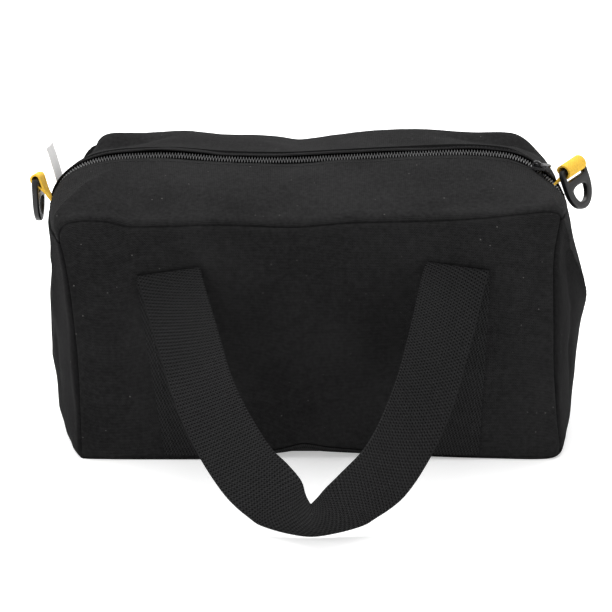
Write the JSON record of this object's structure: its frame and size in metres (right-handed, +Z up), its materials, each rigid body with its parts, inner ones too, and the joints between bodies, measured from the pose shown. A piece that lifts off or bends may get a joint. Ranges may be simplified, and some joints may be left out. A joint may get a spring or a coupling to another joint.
{
  "type": "garden tool bag",
  "caption": "Soft rectangular canvas tool bag with a zipped top, webbing carry handles front and rear, and a plastic ring on a webbing loop at each end.",
  "frame": {"origin": "on the ground under the middle of the bag, handles resting out to the front and rear", "axes": "+Z up, front towards -Y, +X towards the end where the closed zip's slider parks"},
  "size_m": [0.4599, 0.55, 0.232],
  "materials": {
    "canvas": "matt ribbed canvas",
    "webbing": "woven webbing",
    "loop_webbing": "woven webbing",
    "ring_plastic": "satin",
    "coil": "satin",
    "slider_metal": "satin black",
    "board": "matt",
    "label": "smooth satin ribbon, blank"
  },
  "bodies": {
    "bag": {"front_panel": "canvas", "back_panel": "canvas", "left_end_panel": "canvas", "right_end_panel": "canvas", "bottom_panel": "canvas", "base_board": "board", "left_top_end": "canvas", "right_top_end": "canvas", "zip_left_end": "coil", "zip_right_end": "coil", "front_left_strap": "webbing", "front_right_strap": "webbing", "rear_left_strap": "webbing", "rear_right_strap": "webbing", "left_loop": "loop_webbing", "right_loop": "loop_webbing", "care_label": "label"},
    "top_front": {"top_front_strip": "canvas", "zip_front_tape": "webbing", "zip_front_coil": "coil"},
    "top_rear": {"top_rear_strip": "canvas", "zip_rear_tape": "webbing", "zip_rear_coil": "coil"},
    "slider": {"zip_slider": "slider_metal"},
    "pull_tab": {"zip_pull_tab": "slider_metal"},
    "front_grip": {"front_handle": "webbing"},
    "rear_grip": {"rear_handle": "webbing"},
    "left_ring": {"left_ring": "ring_plastic"},
    "right_ring": {"right_ring": "ring_plastic"}
  },
  "joints": [
    {"name": "top_front_hinge", "type": "hinge", "parent": "bag", "child": "top_front", "pos_m": [0, -0.1, 0.1978], "axis": [1, 0, 0], "range_deg": [0, 55]},
    {"name": "top_rear_hinge", "type": "hinge", "parent": "bag", "child": "top_rear", "pos_m": [0, 0.1, 0.2118], "axis": [-1, 0, 0], "range_deg": [0, 55]},
    {"name": "slider_run", "type": "hinge", "parent": "bag", "child": "slider", "pos_m": [-0.03438, 0, -1.70179], "axis": [0, -1, 0], "range_deg": [0, 10.61]},
    {"name": "pull_tab_hinge", "type": "hinge", "parent": "slider", "child": "pull_tab", "pos_m": [0.18457, 0, 0.21597], "axis": [0, -1, 0], "range_deg": [0, 150]},
    {"name": "front_handle_fold", "type": "hinge", "parent": "bag", "child": "front_grip", "pos_m": [0, -0.10343, 0.158], "axis": [-1, 0, 0], "range_deg": [0, 120]},
    {"name": "rear_handle_fold", "type": "hinge", "parent": "bag", "child": "rear_grip", "pos_m": [0, 0.10343, 0.158], "axis": [1, 0, 0], "range_deg": [0, 120]},
    {"name": "left_ring_swing", "type": "hinge", "parent": "bag", "child": "left_ring", "pos_m": [-0.222, 0, 0.206], "axis": [0, 1, 0], "range_deg": [-8, 115]},
    {"name": "right_ring_swing", "type": "hinge", "parent": "bag", "child": "right_ring", "pos_m": [0.213, 0.001, 0.213], "axis": [-0.6119, -0.7724, -0.1705], "range_deg": [0, 110]}
  ]
}
